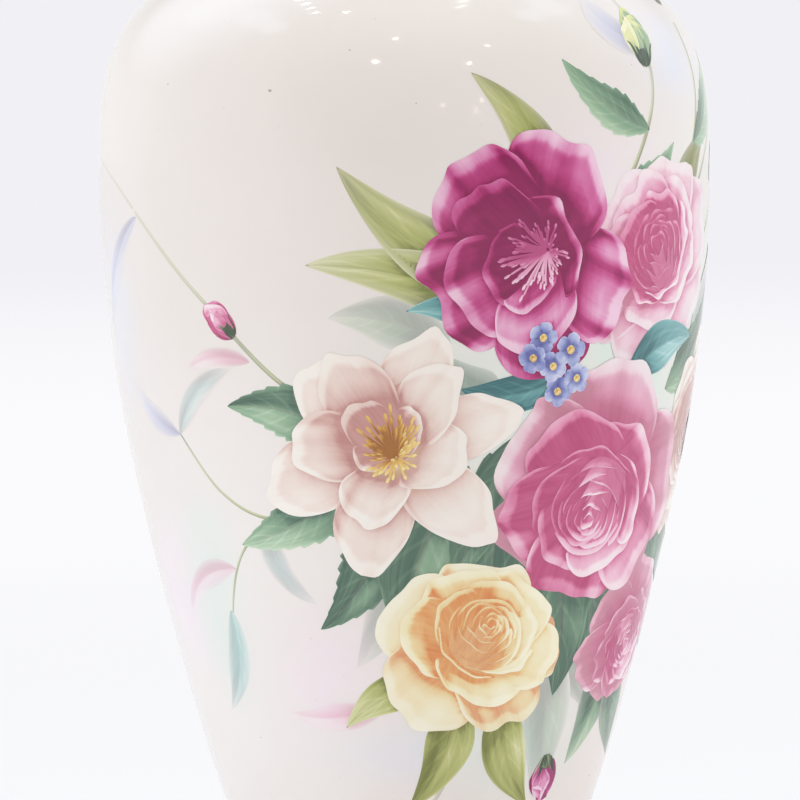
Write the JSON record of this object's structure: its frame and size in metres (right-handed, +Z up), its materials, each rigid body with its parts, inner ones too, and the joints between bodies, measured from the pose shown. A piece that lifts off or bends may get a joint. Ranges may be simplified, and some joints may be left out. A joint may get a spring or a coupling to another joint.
{
  "type": "flower vase",
  "caption": "Tall porcelain flower vase: high-shouldered ovoid body on a foot ring, short throat, everted lip, glazed, with painted blossoms.",
  "frame": {"origin": "middle of the foot ring's rest face", "axes": "+Z up along the vase's axis, from the foot to the mouth; the painted front faces -Y"},
  "size_m": [0.2, 0.2, 0.3721],
  "materials": {
    "porcelain_clay": "bare fired porcelain, matt",
    "slip": "fired slip, matt",
    "outer_glaze": "clear warm-white gloss glaze",
    "overglaze_colours": "painted enamel colours fired onto the outer glaze, gloss",
    "inner_glaze": "clear gloss glaze",
    "base_glaze": "clear gloss glaze, slightly pooled"
  },
  "bodies": {
    "root": {"foot_ring": "porcelain_clay", "lower_body": "porcelain_clay", "upper_body": "porcelain_clay", "neck": "porcelain_clay", "foot_slip_joint": "slip", "belly_slip_joint": "slip", "neck_slip_joint": "slip", "outer_glaze": "outer_glaze", "inner_glaze": "inner_glaze", "base_glaze": "base_glaze"}
  },
  "joints": []
}
